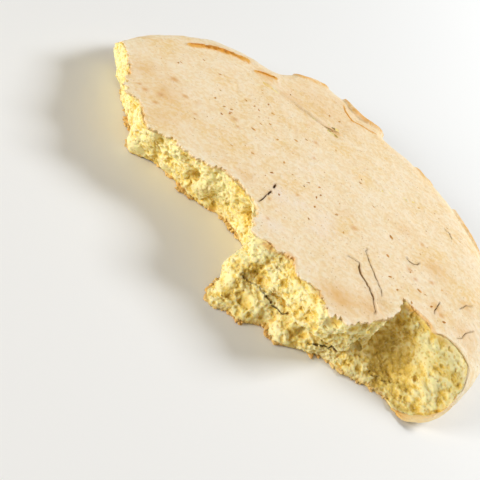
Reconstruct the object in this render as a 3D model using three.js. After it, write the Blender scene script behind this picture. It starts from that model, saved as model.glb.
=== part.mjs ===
// Half of a pogacha, a round flat wheat loaf, torn across by hand and lying on its base.
// Millimetres, +Z up. The shape is worked out round the middle of the whole loaf: +X runs
// along the tear, the torn face looks towards -Y and the baked rim is on the +Y side.
// The surface is a stack of closed rings over the same stations round the outline. They
// grow from the middle of the crown to its edge, come down the side, and close on the base.

import * as THREE from "three";

// ---- The whole loaf, as it was baked ---------------------------------------------------
const RIM_RADIUS = 133.5; // middle of the loaf to the widest line of its rim, at the +X end
const RIM_SPREAD = 11.5; // what that grows by over the next eighth of the way round
const WIDEST_Z = 12; // height of that line above the base
const SHOULDER_Z = 25.5; // height of the crown where it meets the rounding of the rim
const DOME_RISE = 5; // rise of the crown from there to the middle of the loaf
const DOME_LEAN = 0.025; // the loaf proved a little higher towards +X
const TOP_ROUNDING = 28; // width of the rim's rounding above the widest line, at its +X end
const BASE_ROUNDING = 16; // and below that line, all the way round
const SHOULDER_ANGLE = Math.PI / 3; // the part of the upper rounding that belongs to the side

// Where the rim begins and ends, in degrees round the middle of the loaf from +X. The crust
// on top and the base tore along different lines, so each has its own two angles.
const RIM_START = { top: 7.5, base: -10 };
const RIM_END = { top: 173, base: 169 };

// Where the oven made dough burst out of the rim: the lobe has a sharp corner on one side,
// from which it swells on to its widest place. Degrees, then how far it stands out.
const LOBE = { corner: 93.5, risen: 98, widest: 115, end: 128, outAtCorner: 7, out: 22 };
// The wide bulge beyond the lobe, and the flattening towards the far end of the half
const FAR_BULGE = { degrees: 142, halfWidth: 17, out: 12 };
const FAR_FLATTENING = { from: 158, to: 176, in: 8 };
const DIP_BESIDE_LOBE = { degrees: 129, halfWidth: 4, in: 4 };
// Lips that stand out of the rim a little above its widest line
const RIM_LIPS = [
  { degrees: 139, halfWidth: 11, out: 4.5 },
  { degrees: 66, halfWidth: 9, out: 2.5 },
];
const LIP_AT = 0.38; // how far down the side a lip stands out most, 0 at its top, 1 at its foot
const LIP_HALF_HEIGHT = 0.16;

// ---- The tear --------------------------------------------------------------------------
// Its outline from the far end to the near one: [x, y] of the crust's edge on top and of
// the base's edge under it. A torn edge follows no curve, so each bend is a point.
const TEAR = [
  [-123, 11, -117, 14],
  [-113, 3, -108, 5],
  [-104, -6, -99, 0],
  [-97, -15, -92, -5],
  [-89, -20, -84, -10],
  [-80, -21, -78, -17],
  [-72, -28, -72, -23],
  [-61, -32, -60, -15],
  [-54, -28, -50, -14],
  [-41, -25, -37, -14],
  [-30, -22, -28, -13],
  [-22, -16, -17, -8],
  [-11, -18, -7, -8],
  [3, -21, 3, -10],
  [9, -29, 10, -12],
  [14, -35, 16, -28],
  [18, -39, 18, -47],
  [24, -37, 21, -57],
  [30, -35, 27, -62],
  [38, -31, 34, -56],
  [42, -34, 41, -55],
  [47, -37, 49, -45],
  [60, -37, 57, -47],
  [70, -40, 66, -40],
  [79, -34, 74, -32],
  [85, -19, 81, -29],
  [86, -3, 88, -29],
  [83, 8, 93, -26],
  [90, 8, 98, -23],
  [97, 9, 104, -20],
  [105, 8, 109, -18],
  [112, 13, 112, -18.8],
];
const TIP_BLEND = 20; // length of tear over which the rim's round section flattens

// Where the torn crumb is hollow: the middle of each hollow, its reach along the tear, its
// reach up and down, and its depth into the bread.
const HOLLOWS = [
  { at: [-93, -10, 14], reach: 8, height: 8, depth: 2.5 },
  { at: [-57, -21, 16], reach: 4, height: 6, depth: 2.5 },
  { at: [-34, -18, 15], reach: 4, height: 5, depth: 4 },
  { at: [1, -16, 19], reach: 7, height: 5.5, depth: 7 },
  { at: [64, -42, 9.5], reach: 4.5, height: 3, depth: 5 },
  { at: [72, -39, 25], reach: 5, height: 4, depth: 3 },
  { at: [86, -21, 11.5], reach: 4, height: 5, depth: 6 },
  { at: [101, -7, 14], reach: 15, height: 10, depth: 9 },
];
// The crumb parted over the slab along the base: a crevice that comes down along the tear
const CREVICE = { fromX: 28, fromZ: 16.5, toX: 82, toZ: 7, halfHeight: 2.2, depth: 4 };
// Crags of the torn crumb, coarse and fine: size of a crag, and how far it stands out
const CRAGS = [
  { size: 11, out: 2.4 },
  { size: 5.5, out: 1.1 },
];

// ---- The crust on top ------------------------------------------------------------------
// Shallow hollows and swellings of the crown: middle, reach, and rise or fall
const SWELLS = [
  { at: [83, -8], reach: 6, rise: -2 }, // a flap of crust that sank between two cracks
  { at: [58, 79], reach: 11, rise: -0.8 },
  { at: [45, -18], reach: 6, rise: -0.6 },
  { at: [80, 55], reach: 16, rise: 0.9 },
  { at: [20, 55], reach: 26, rise: 0.9 },
  { at: [-62, 35], reach: 22, rise: -0.9 },
  { at: [-82, -2], reach: 12, rise: 0.8 },
  { at: [12, -30], reach: 7, rise: 1.6 }, // the crust that curls up at its point
];
// The crease where the lobe pulled away from the crown: from, to, half width and depth
const LOBE_CREASE = { from: [-76, 86], to: [-22, 93], halfWidth: 2.6, depth: 1.6, drop: 1.2 };

// ---- How finely the solid is faceted ---------------------------------------------------
const TEAR_STATIONS = 96;
const RIM_STATIONS = 42;
const CROWN_RINGS = 12;
const SIDE_RINGS = 13;
const BASE_RINGS = 4;
const CROWN_CROWDING = 1.6; // over 1 crowds the crown's rings towards its edge

// Where the rings' columns meet on the crown and on the base. Every station of the tear can
// be seen from here along a straight line over the crust.
const HUB = new THREE.Vector2(10, 50);
// The middle of the whole loaf, seen from the part's origin, which is on the base under the
// middle of the half's own box
const LOAF_MIDDLE = new THREE.Vector3(2.95, -45.7, 0);

const { clamp, degToRad, lerp, smoothstep } = THREE.MathUtils;

// A hill of height 1 over 0 that is at 1/e of its height at 1 and -1
const hill = (distance) => Math.exp(-distance * distance);

// A smooth random value between -1 and 1 at any point, the same on every run: a hash of
// whole coordinates, blended between the 8 corners of the cell that holds the point.
function cornerValue(i, j, k) {
  let hash = Math.imul(i, 374761393) + Math.imul(j, 668265263) + Math.imul(k, 1440662683);
  hash = Math.imul(hash ^ (hash >>> 13), 1274126177);
  return ((hash ^ (hash >>> 16)) >>> 0) / 2147483647.5 - 1;
}

function smoothRandom(x, y, z) {
  const [i, j, k] = [x, y, z].map(Math.floor);
  const [u, v, w] = [x - i, y - j, z - k].map((share) => smoothstep(share, 0, 1));
  const edge = (dj, dk) =>
    lerp(cornerValue(i, j + dj, k + dk), cornerValue(i + 1, j + dj, k + dk), u);
  return lerp(lerp(edge(0, 0), edge(1, 0), v), lerp(edge(0, 1), edge(1, 1), v), w);
}

// ---- The baked loaf --------------------------------------------------------------------
// Degrees round the middle of the loaf, from -90 to 270 so that no step falls on the half
const degreesOf = (x, y) => ((THREE.MathUtils.radToDeg(Math.atan2(y, x)) + 450) % 360) - 90;

// How far the lobe stands out at an angle: a step at its corner, a swell, and a fall
function lobeOut(degrees) {
  const step = LOBE.outAtCorner * smoothstep(degrees, LOBE.corner, LOBE.risen);
  const swell = (LOBE.out - LOBE.outAtCorner) * smoothstep(degrees, LOBE.risen, LOBE.widest);
  return (step + swell) * (1 - smoothstep(degrees, LOBE.widest + 1, LOBE.end));
}

// Middle of the loaf to the widest line: a circle that grows a little from the +X end, with
// five slow waves, the lobe, and the bulge and the flattening beyond it
function rimRadius(degrees) {
  const waves = Math.sin(degToRad(5 * degrees) + 1);
  const spread = RIM_SPREAD * smoothstep(degrees, 5, 50);
  const bulge = FAR_BULGE.out * hill((degrees - FAR_BULGE.degrees) / FAR_BULGE.halfWidth);
  const flat = FAR_FLATTENING.in * smoothstep(degrees, FAR_FLATTENING.from, FAR_FLATTENING.to);
  const dip =
    DIP_BESIDE_LOBE.in * hill((degrees - DIP_BESIDE_LOBE.degrees) / DIP_BESIDE_LOBE.halfWidth);
  return RIM_RADIUS + waves + spread + lobeOut(degrees) + bulge - flat - dip;
}

// Width of the rounding above the widest line, which is tighter at the far end
function topRounding(degrees) {
  return TOP_ROUNDING - 8 * smoothstep(degrees, 50, 100) - 12 * smoothstep(degrees, 150, 176);
}

// Height of the dome, before the rim rounds it off
function domeZ(x, y) {
  const fromMiddle = (x * x + y * y) / (RIM_RADIUS * RIM_RADIUS);
  return SHOULDER_Z + DOME_RISE * (1 - fromMiddle) + DOME_LEAN * x;
}

// Swells of the crust, and the crease and step on the inner side of the lobe
function crustRelief(x, y) {
  let rise = 0;
  for (const swell of SWELLS) {
    rise += swell.rise * hill(Math.hypot(x - swell.at[0], y - swell.at[1]) / swell.reach);
  }
  const [fromX, fromY] = LOBE_CREASE.from;
  const [toX, toY] = LOBE_CREASE.to;
  const length = Math.hypot(toX - fromX, toY - fromY);
  const along = ((x - fromX) * (toX - fromX) + (y - fromY) * (toY - fromY)) / length;
  const outward = ((y - fromY) * (toX - fromX) - (x - fromX) * (toY - fromY)) / length;
  const window = smoothstep(along, -6, 6) * (1 - smoothstep(along, length - 6, length + 6));
  const groove = LOBE_CREASE.depth * hill(outward / LOBE_CREASE.halfWidth);
  const step = LOBE_CREASE.drop * smoothstep(outward, 0, 8);
  return rise - window * (groove + step);
}

// A quarter circle's height at a share of its width, from 0 at the rim to 1 inside
const quarter = (share) => Math.sqrt(1 - (1 - clamp(share, 0, 1)) ** 2);

// Height of the crust over a point, and of the base's underside below it
function crustZ(x, y) {
  const degrees = degreesOf(x, y);
  const inside = rimRadius(degrees) - Math.hypot(x, y);
  const share = quarter(inside / topRounding(degrees));
  return WIDEST_Z + (domeZ(x, y) - WIDEST_Z + crustRelief(x, y) * share) * share;
}

function baseZ(x, y) {
  const inside = rimRadius(degreesOf(x, y)) - Math.hypot(x, y);
  return WIDEST_Z * (1 - quarter(inside / BASE_ROUNDING));
}

// A point of the rim's round section at an angle: down is 0 at the shoulder and 1 at the base
function rimPoint(topDegrees, baseDegrees, down) {
  const widestAt = 0.45;
  const degrees = lerp(topDegrees, baseDegrees, down);
  const lips = RIM_LIPS.map(
    (lip) => lip.out * hill((degrees - lip.degrees) / lip.halfWidth),
  ).reduce((sum, out) => sum + out, 0);
  const lip = lips * hill((down - LIP_AT) / LIP_HALF_HEIGHT);
  const above = down < widestAt;
  const turn = above
    ? SHOULDER_ANGLE * (1 - down / widestAt)
    : (Math.PI / 2) * ((down - widestAt) / (1 - widestAt));
  const rounding = above ? topRounding(degrees) : BASE_ROUNDING;
  const radius = rimRadius(degrees) - rounding * (1 - Math.cos(turn));
  const x = radius * Math.cos(degToRad(degrees));
  const y = radius * Math.sin(degToRad(degrees));
  const z = above ? crustZ(x, y) : baseZ(x, y);
  const outward = (radius + lip) / radius;
  return new THREE.Vector3(x * outward, y * outward, z);
}

// ---- The torn face ---------------------------------------------------------------------
const startTip = [0, 1].map((down) => rimPoint(RIM_START.top, RIM_START.base, down));
const endTip = [0, 1].map((down) => rimPoint(RIM_END.top, RIM_END.base, down));
const curveThrough = (first, column, last) =>
  new THREE.SplineCurve([
    new THREE.Vector2(first.x, first.y),
    ...TEAR.map((row) => new THREE.Vector2(row[column], row[column + 1])),
    new THREE.Vector2(last.x, last.y),
  ]);
const crustEdge = curveThrough(endTip[0], 0, startTip[0]);
const baseEdge = curveThrough(endTip[1], 2, startTip[1]);
const tearLength = crustEdge.getLength();

// Way out of the bread at a station of the tear: across the line halfway between both edges
function outOfTear(t) {
  const step = 0.012;
  const middleAt = (at) => {
    const near = clamp(at, 0, 1);
    return crustEdge.getPoint(near).add(baseEdge.getPoint(near)).multiplyScalar(0.5);
  };
  const along = middleAt(t + step).sub(middleAt(t - step)).normalize();
  return new THREE.Vector2(along.y, -along.x);
}

// How far the crumb stands out of the plain torn face at a point
function crumbRelief(point) {
  let out = 0;
  for (const { size, out: most } of CRAGS) {
    out += most * smoothRandom(point.x / size, point.y / size, point.z / size);
  }
  for (const { at, reach, height, depth } of HOLLOWS) {
    const along = Math.hypot(point.x - at[0], point.y - at[1]) / reach;
    out -= depth * hill(Math.hypot(along, (point.z - at[2]) / height));
  }
  const along = (point.x - CREVICE.fromX) / (CREVICE.toX - CREVICE.fromX);
  const crevice = smoothstep(along, -0.08, 0.08) * (1 - smoothstep(along, 0.92, 1.08));
  const over = (point.z - lerp(CREVICE.fromZ, CREVICE.toZ, along)) / CREVICE.halfHeight;
  out -= CREVICE.depth * crevice * hill(over);
  return out;
}

// A point of the torn face: t runs along the tear and down from the crust to the base
function tornPoint(t, down) {
  const top = crustEdge.getPoint(t);
  const base = baseEdge.getPoint(t);
  const point = new THREE.Vector3(top.x, top.y, crustZ(top.x, top.y)).lerp(
    new THREE.Vector3(base.x, base.y, baseZ(base.x, base.y)),
    down,
  );
  // towards each end the face takes on the outline of the rim's round section
  const tips = [
    { ends: endTip, rim: RIM_END, from: t * tearLength },
    { ends: startTip, rim: RIM_START, from: (1 - t) * tearLength },
  ];
  let atTip = 0;
  for (const { ends, rim, from } of tips) {
    const share = 1 - smoothstep(from, 0, TIP_BLEND);
    const straight = ends[0].clone().lerp(ends[1], down);
    point.addScaledVector(rimPoint(rim.top, rim.base, down).sub(straight), share);
    atTip = Math.max(atTip, share);
  }
  // the crags fade out at both edges, where the crust and the base hold the crumb
  const held = Math.sin(Math.PI * down) ** 0.5 * (1 - atTip);
  const out = outOfTear(t).multiplyScalar(crumbRelief(point) * held);
  return point.add(new THREE.Vector3(out.x, out.y, 0));
}

// ---- Rings -----------------------------------------------------------------------------
// Every station round the outline as a function of down, first the tear and then the rim
function makeStations() {
  const stations = [];
  const even = crustEdge.getSpacedPoints(TEAR_STATIONS).length;
  for (let k = 0; k < even - 1; k += 1) {
    const t = crustEdge.getUtoTmapping(k / TEAR_STATIONS);
    stations.push((down) => tornPoint(t, down));
  }
  for (let k = 0; k < RIM_STATIONS; k += 1) {
    const share = k / RIM_STATIONS;
    const top = lerp(RIM_START.top, RIM_END.top, share);
    const base = lerp(RIM_START.base, RIM_END.base, share);
    stations.push((down) => rimPoint(top, base, down));
  }
  return stations;
}

function makeRings() {
  const stations = makeStations();
  const side = [];
  for (let k = 0; k <= SIDE_RINGS; k += 1) {
    side.push(stations.map((station) => station(k / SIDE_RINGS)));
  }
  const inwards = (ring, share, heightOver) =>
    ring.map(({ x, y }) => {
      const [px, py] = [lerp(HUB.x, x, share), lerp(HUB.y, y, share)];
      return new THREE.Vector3(px, py, heightOver(px, py));
    });
  const crown = [];
  for (let k = 1; k < CROWN_RINGS; k += 1) {
    const share = 1 - (1 - k / CROWN_RINGS) ** CROWN_CROWDING;
    crown.push(inwards(side[0], share, crustZ));
  }
  const base = [];
  for (let k = 1; k < BASE_RINGS; k += 1) {
    base.push(inwards(side[SIDE_RINGS], 1 - k / BASE_RINGS, baseZ));
  }
  return [...crown, ...side, ...base];
}

// One closed surface over the rings, with a fan to the hub at the crown and at the base
function makeSurface(rings) {
  const count = rings[0].length;
  const positions = rings.flat().flatMap((point) => point.toArray());
  positions.push(HUB.x, HUB.y, crustZ(HUB.x, HUB.y), HUB.x, HUB.y, 0);
  const crownHub = rings.length * count;
  const faces = [];
  for (let k = 0; k < count; k += 1) {
    const next = (k + 1) % count;
    faces.push(crownHub, k, next);
    for (let ring = 1; ring < rings.length; ring += 1) {
      const [inner, outer] = [(ring - 1) * count, ring * count];
      faces.push(inner + k, outer + k, outer + next, inner + k, outer + next, inner + next);
    }
    const last = (rings.length - 1) * count;
    faces.push(crownHub + 1, last + next, last + k);
  }
  const geometry = new THREE.BufferGeometry();
  geometry.setAttribute("position", new THREE.Float32BufferAttribute(positions, 3));
  geometry.setIndex(faces);
  geometry.translate(LOAF_MIDDLE.x, LOAF_MIDDLE.y, LOAF_MIDDLE.z);
  geometry.computeVertexNormals();
  return geometry;
}

const bread = new THREE.MeshStandardMaterial({
  name: "floured wheat crust",
  color: "#f0dcb4",
  roughness: 0.85,
  metalness: 0,
});

const loaf = new THREE.Mesh(makeSurface(makeRings()), bread);
loaf.name = "pogacha_half";

const pogacha = new THREE.Group();
pogacha.add(loaf);

export default pogacha;
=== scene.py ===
# %% [markdown]
# # Half of a pogacha, torn by hand
# The bread lies on its own base: +X runs along the tear, the torn face looks towards -Y and
# the baked rim is on the +Y side. Shapes are worked out in millimetres round the middle of the
# whole loaf, where bakers would measure it, and become metres in the part's frame at the end.

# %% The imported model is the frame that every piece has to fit
import itertools

import bpy
import numpy as np
from mathutils import Matrix, Vector


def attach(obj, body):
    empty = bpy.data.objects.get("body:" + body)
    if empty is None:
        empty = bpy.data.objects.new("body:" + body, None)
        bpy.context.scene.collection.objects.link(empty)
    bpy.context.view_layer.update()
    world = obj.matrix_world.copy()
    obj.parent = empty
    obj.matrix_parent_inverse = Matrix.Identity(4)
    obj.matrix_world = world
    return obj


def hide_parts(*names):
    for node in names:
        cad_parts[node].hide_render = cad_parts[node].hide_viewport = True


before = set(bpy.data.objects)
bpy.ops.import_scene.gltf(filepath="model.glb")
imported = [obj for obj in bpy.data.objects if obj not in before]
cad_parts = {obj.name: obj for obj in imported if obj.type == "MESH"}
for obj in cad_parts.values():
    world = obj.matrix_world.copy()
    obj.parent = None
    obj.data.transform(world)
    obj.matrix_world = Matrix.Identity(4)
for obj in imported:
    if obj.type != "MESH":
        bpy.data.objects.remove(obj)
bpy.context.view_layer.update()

# %% Units and the step from the loaf's own middle to the part's origin
MM = 0.001
LOAF_MIDDLE = np.array([2.95, -45.7, 0.0])
NODE = "pogacha_half"


def in_frame(points):
    """Points in mm round the middle of the loaf, as metres in the part's frame."""
    return (np.asarray(points, float) + LOAF_MIDDLE) * MM


def smoothstep(value, low, high):
    """0 below low, 1 above high, and 3 t^2 - 2 t^3 between them."""
    share = np.clip((np.asarray(value, float) - low) / (high - low), 0, 1)
    return share * share * (3 - 2 * share)


def hill(distance):
    """A hill of height 1 over 0, at 1/e of its height at 1: exp(-d^2)."""
    return np.exp(-np.asarray(distance, float) ** 2)


def lerp(first, last, share):
    """Straight from first at share 0 to last at share 1."""
    return first + (last - first) * share


def window(value, first, last, soft):
    """1 between first and last: a smoothstep up round the first, and one down round the last."""
    opened = smoothstep(value, first - soft, first + soft)
    return opened * (1 - smoothstep(value, last - soft, last + soft))


def unit(vectors):
    """Each vector divided by its length."""
    return vectors / np.maximum(np.linalg.norm(vectors, axis=-1, keepdims=True), 1e-9)


def at_height(plan, z):
    """Flat points with a height, which is one number or one for each."""
    return np.column_stack([plan, np.broadcast_to(z, len(plan))])


def add_object(name, data):
    """A new object in the scene."""
    made = bpy.data.objects.new(name, data)
    bpy.context.scene.collection.objects.link(made)
    return made


# %% [markdown]
# ## Camera
# The camera comes first, so that each piece can be judged where the picture shows it. It looks
# down from 34.5 degrees, a little from the right, and is turned about its own axis, because in
# the picture the half leans on its other half and here it lies flat.

# %% Camera
CAMERA_AWAY = 499.4  # mm from the middle of the loaf
CAMERA_ELEVATION = np.radians(34.5)
CAMERA_AZIMUTH = np.radians(21.3)
CAMERA_ROLL = np.radians(32.1)
SENSOR = 36.0
FOCAL_PIXELS = 962.6  # focal length in pixels of a frame 480 pixels wide
FRAME_PIXELS = 480
MIDDLE_PIXEL = (248.4, 232.4)  # where the middle of the loaf falls in that frame


def make_camera():
    """back = (sin a cos e, -cos a cos e, sin e); right and up are turned about it by the roll."""
    a, e, roll = CAMERA_AZIMUTH, CAMERA_ELEVATION, CAMERA_ROLL
    back = Vector((np.sin(a) * np.cos(e), -np.cos(a) * np.cos(e), np.sin(e)))
    level = Vector((np.cos(a), np.sin(a), 0))
    upright = back.cross(level)
    right = np.cos(roll) * level + np.sin(roll) * upright
    up = -np.sin(roll) * level + np.cos(roll) * upright
    lens = bpy.data.cameras.new("camera")
    lens.sensor_width = SENSOR
    lens.lens = FOCAL_PIXELS * SENSOR / FRAME_PIXELS
    lens.shift_x = (FRAME_PIXELS / 2 - MIDDLE_PIXEL[0]) / FRAME_PIXELS
    lens.shift_y = (MIDDLE_PIXEL[1] - FRAME_PIXELS / 2) / FRAME_PIXELS
    camera = add_object("camera", lens)
    place = Vector(in_frame((0, 0, 0))) + back * CAMERA_AWAY * MM
    turn = Matrix((right, up, back)).transposed()
    camera.matrix_world = Matrix.Translation(place) @ turn.to_4x4()
    bpy.context.scene.camera = camera
    return camera


print("lens, mm:", round(make_camera().data.lens, 1))

# %% [markdown]
# ## Randomness that repeats
# Bread is uneven at every size. All of it comes from one smooth random field, made of a hash
# of whole coordinates, so each run gives the same loaf. The solid's crags use this same field.

# %% Smooth random values
HASH_STEPS = (374761393, 668265263, 1440662683)
HASH_SEED_STEP = 97


def corner_value(corners, seed=0):
    """A value from -1 to 1 for each whole corner (i, j, k), from products and shifted bits."""
    i, j, k = (corners[..., n].astype(np.int64) for n in range(3))
    total = (i + HASH_SEED_STEP * seed) * HASH_STEPS[0] + j * HASH_STEPS[1] + k * HASH_STEPS[2]
    mixed = (total & 0xFFFFFFFF).astype(np.uint32)
    mixed = (mixed ^ (mixed >> np.uint32(13))) * np.uint32(1274126177)
    return (mixed ^ (mixed >> np.uint32(16))) / 2147483647.5 - 1


def smooth_random(points, size, seed=0):
    """The 8 corners of the cell that holds each point, blended with smoothstep weights."""
    scaled = np.asarray(points, float) / size
    cell = np.floor(scaled)
    weight = smoothstep(scaled - cell, 0, 1)
    value = 0
    for step in itertools.product((0, 1), repeat=3):
        share = np.prod(np.where(step, weight, 1 - weight), axis=-1)
        value = value + share * corner_value(cell + step, seed)
    return value


def uneven_at(points, seed):
    """A slow and a faster field, so that nothing ends on a clean line."""
    return smooth_random(points, 7, seed) + 0.5 * smooth_random(points, 3, seed + 1)


def along_random(distance, size, seed=0):
    """The same field along a line."""
    zero = np.zeros_like(distance)
    return smooth_random(np.stack([distance, zero, zero], -1), size, seed)


def open_cells(points, spacing, fullest, seed):
    """Depth of round bubbles: one for each cube of the spacing, radius r up to fullest times
    the spacing, r (1 - (d/r)^2) deep at a distance d from its middle."""
    cell = np.floor(points / spacing)
    deepest = np.zeros(points.shape[:-1])
    for step in itertools.product((-1, 0, 1), repeat=3):
        corner = cell + step
        jitter = np.stack([corner_value(corner, seed + n) for n in (1, 2, 3)], -1)
        middle = (corner + 0.5 + 0.35 * jitter) * spacing
        radius = spacing * fullest * (0.6 + 0.4 * corner_value(corner, seed))
        away = np.linalg.norm(points - middle, axis=-1) / radius
        deepest = np.maximum(deepest, radius * (1 - away**2))
    return deepest


# %% [markdown]
# ## The loaf as it was baked
# These are the solid's own formulas: a dome over a rounded rim, which burst into a lobe. They
# take whole arrays. An inset shrinks every one of them by some millimetres, which gives the
# crumb's skin below the crust and the crust's inner face.

# %% Rim, dome and base
RIM_RADIUS = 133.5
RIM_SPREAD = 11.5
WIDEST_Z, SHOULDER_Z = 12, 25.5
DOME_RISE, DOME_LEAN = 5, 0.025
TOP_ROUNDING, BASE_ROUNDING = 28, 16
SHOULDER_ANGLE = np.pi / 3
WIDEST_DOWN = 0.45  # share of the way down the side at which the loaf is widest
RIM_START = {"top": 7.5, "base": -10}
RIM_END = {"top": 173, "base": 169}
RIM_LIPS = [(139, 11, 4.5), (66, 9, 2.5)]  # degrees, half width, out
LIP_AT, LIP_HALF_HEIGHT = 0.38, 0.16
SWELLS = [  # x, y, reach, rise
    (83, -8, 6, -2), (58, 79, 11, -0.8), (45, -18, 6, -0.6), (80, 55, 16, 0.9),
    (20, 55, 26, 0.9), (-62, 35, 22, -0.9), (-82, -2, 12, 0.8), (12, -30, 7, 1.6),
]
CREASE_FROM, CREASE_TO = np.array([-76, 86]), np.array([-22, 93])
HUB = np.array([10, 50])  # the whole outline can be seen from here


def degrees_of(x, y):
    """Degrees round the middle from -90 to 270, so that no step falls on this half."""
    return (np.degrees(np.arctan2(y, x)) + 450) % 360 - 90


def rim_radius(degrees):
    """A circle with five slow waves, a spread, the lobe, the far bulge, a flat and a dip."""
    lobe = 7 * smoothstep(degrees, 93.5, 98) + 15 * smoothstep(degrees, 98, 115)
    lobe = lobe * (1 - smoothstep(degrees, 116, 128))
    bulge = 12 * hill((degrees - 142) / 17) - 4 * hill((degrees - 129) / 4)
    round_part = RIM_RADIUS + np.sin(np.radians(5 * degrees) + 1)
    spread = RIM_SPREAD * smoothstep(degrees, 5, 50)
    return round_part + spread + lobe + bulge - 8 * smoothstep(degrees, 158, 176)


def top_rounding(degrees):
    """Width of the rim's rounding above its widest line."""
    return TOP_ROUNDING - 8 * smoothstep(degrees, 50, 100) - 12 * smoothstep(degrees, 150, 176)


def quarter(share):
    """Height of a quarter circle at a share of its width: sqrt(1 - (1 - share)^2)."""
    return np.sqrt(1 - (1 - np.clip(share, 0, 1)) ** 2)


def crust_relief(x, y):
    """Swells of the crown, and the groove and the step where the lobe pulled away."""
    rise = sum(up * hill(np.hypot(x - sx, y - sy) / reach) for sx, sy, reach, up in SWELLS)
    run = CREASE_TO - CREASE_FROM
    length = np.hypot(*run)
    along = ((x - CREASE_FROM[0]) * run[0] + (y - CREASE_FROM[1]) * run[1]) / length
    out = ((y - CREASE_FROM[1]) * run[0] - (x - CREASE_FROM[0]) * run[1]) / length
    groove = 1.6 * hill(out / 2.6) + 1.2 * smoothstep(out, 0, 8)
    return rise - window(along, 0, length, 6) * groove


def crust_height(x, y, inset=0):
    """Height of the crown: the dome, rounded off towards the rim by a quarter circle."""
    degrees = degrees_of(x, y)
    inside = rim_radius(degrees) - inset - np.hypot(x, y)
    share = quarter(inside / top_rounding(degrees))
    dome = SHOULDER_Z + DOME_RISE * (1 - (x * x + y * y) / RIM_RADIUS**2) + DOME_LEAN * x
    return WIDEST_Z + (dome - inset - WIDEST_Z + crust_relief(x, y) * share) * share


def base_height(x, y, inset=0):
    """Height of the underside: flat, and rounded up towards the rim."""
    inside = rim_radius(degrees_of(x, y)) - inset - np.hypot(x, y)
    return inset + (WIDEST_Z - inset) * (1 - quarter(inside / BASE_ROUNDING))


def rim_point(top_degrees, base_degrees, down, inset=0):
    """A point of the rim's round section: down is 0 at the shoulder and 1 on the base."""
    degrees = lerp(top_degrees, base_degrees, down)
    above = down < WIDEST_DOWN
    turn = np.where(above, SHOULDER_ANGLE * (1 - down / WIDEST_DOWN),
                    np.pi / 2 * (down - WIDEST_DOWN) / (1 - WIDEST_DOWN))
    rounding = np.where(above, top_rounding(degrees), BASE_ROUNDING)
    radius = rim_radius(degrees) - inset - rounding * (1 - np.cos(turn))
    x, y = radius * np.cos(np.radians(degrees)), radius * np.sin(np.radians(degrees))
    z = np.where(above, crust_height(x, y, inset), base_height(x, y, inset))
    lips = sum(out * hill((degrees - at) / half) for at, half, out in RIM_LIPS)
    outward = 1 + lips * hill((down - LIP_AT) / LIP_HALF_HEIGHT) / radius
    return np.stack([x * outward, y * outward, z], -1)


# %% [markdown]
# ## The tear
# A tear follows no curve, so its bends are points: where the crust on top gave way, and where
# the base did. A spline runs through each. Finer raggedness is added along both, in steps of
# 8, 3.6, 1.6 and 0.8 mm, since crust snaps in short straight chips and not in waves.

# %% Both edges of the tear
TEAR = np.array([  # crust x, y, and the base x, y under it
    (-123, 11, -117, 14), (-113, 3, -108, 5), (-104, -6, -99, 0), (-97, -15, -92, -5),
    (-89, -20, -84, -10), (-80, -21, -78, -17), (-72, -28, -72, -23), (-61, -32, -60, -15),
    (-54, -28, -50, -14), (-41, -25, -37, -14), (-30, -22, -28, -13), (-22, -16, -17, -8),
    (-11, -18, -7, -8), (3, -21, 3, -10), (9, -29, 10, -12), (14, -35, 16, -28),
    (18, -39, 18, -47), (24, -37, 21, -57), (30, -35, 27, -62), (38, -31, 34, -56),
    (42, -34, 41, -55), (47, -37, 49, -45), (60, -37, 57, -47), (70, -40, 66, -40),
    (79, -34, 74, -32), (85, -19, 81, -29), (86, -3, 88, -29), (83, 8, 93, -26),
    (90, 8, 98, -23), (97, 9, 104, -20), (105, 8, 109, -18), (112, 13, 112, -18.8),
], float)
TIP_BLEND = 20
RAGGED_STEPS = [(8.0, 0.9), (3.6, 1.0), (1.6, 0.6), (0.8, 0.3)]  # length and reach, mm
RAGGED_SEED = {"top": 41, "base": 51}
FLAP_AT, FLAP_REACH, FLAP_RAGGED = (72, -36), 14, 0.7  # a flap that tore off more raggedly

TOP_TIPS = [rim_point(tip["top"], tip["base"], 0.0) for tip in (RIM_END, RIM_START)]
BASE_TIPS = [rim_point(tip["top"], tip["base"], 1.0) for tip in (RIM_END, RIM_START)]
EDGES = {"top": np.vstack([TOP_TIPS[0][:2], TEAR[:, :2], TOP_TIPS[1][:2]]),
         "base": np.vstack([BASE_TIPS[0][:2], TEAR[:, 2:], BASE_TIPS[1][:2]])}


def spline(points, share):
    """Catmull-Rom through the points, with the first and the last one counted twice."""
    last = len(points) - 1
    place = np.clip(share, 0, 1) * last
    start = np.minimum(place.astype(int), last - 1)
    t = (place - start)[:, None]
    a, b, c, d = (points[np.clip(start + n, 0, last)] for n in (-1, 0, 1, 2))
    return 0.5 * (2 * b + (c - a) * t + (2 * a - 5 * b + 4 * c - d) * t**2
                  + (3 * b - a - 3 * c + d) * t**3)


def tear_edge(share, side):
    """The crust's edge, "top", or the base's, from the far tip to the near one."""
    return spline(EDGES[side], share)


def halfway(share):
    """The line halfway between both edges."""
    return (tear_edge(share, "top") + tear_edge(share, "base")) / 2


def even_shares(count, fine_steps=4000):
    """Shares of the tear that are evenly spaced along its halfway line, and the mm walked."""
    fine = np.linspace(0, 1, fine_steps)
    walked = np.r_[0, np.cumsum(np.hypot(*np.diff(halfway(fine), axis=0).T))]
    even = np.linspace(0, walked[-1], count)
    return np.interp(even, walked, fine), even


def out_of_tear(share, step=0.012):
    """The way out of the bread, across the halfway line."""
    first, last = (halfway(np.clip(share + sign * step, 0, 1)) for sign in (-1, 1))
    along = unit(last - first)
    return np.stack([along[:, 1], -along[:, 0], np.zeros(len(share))], -1)


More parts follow.
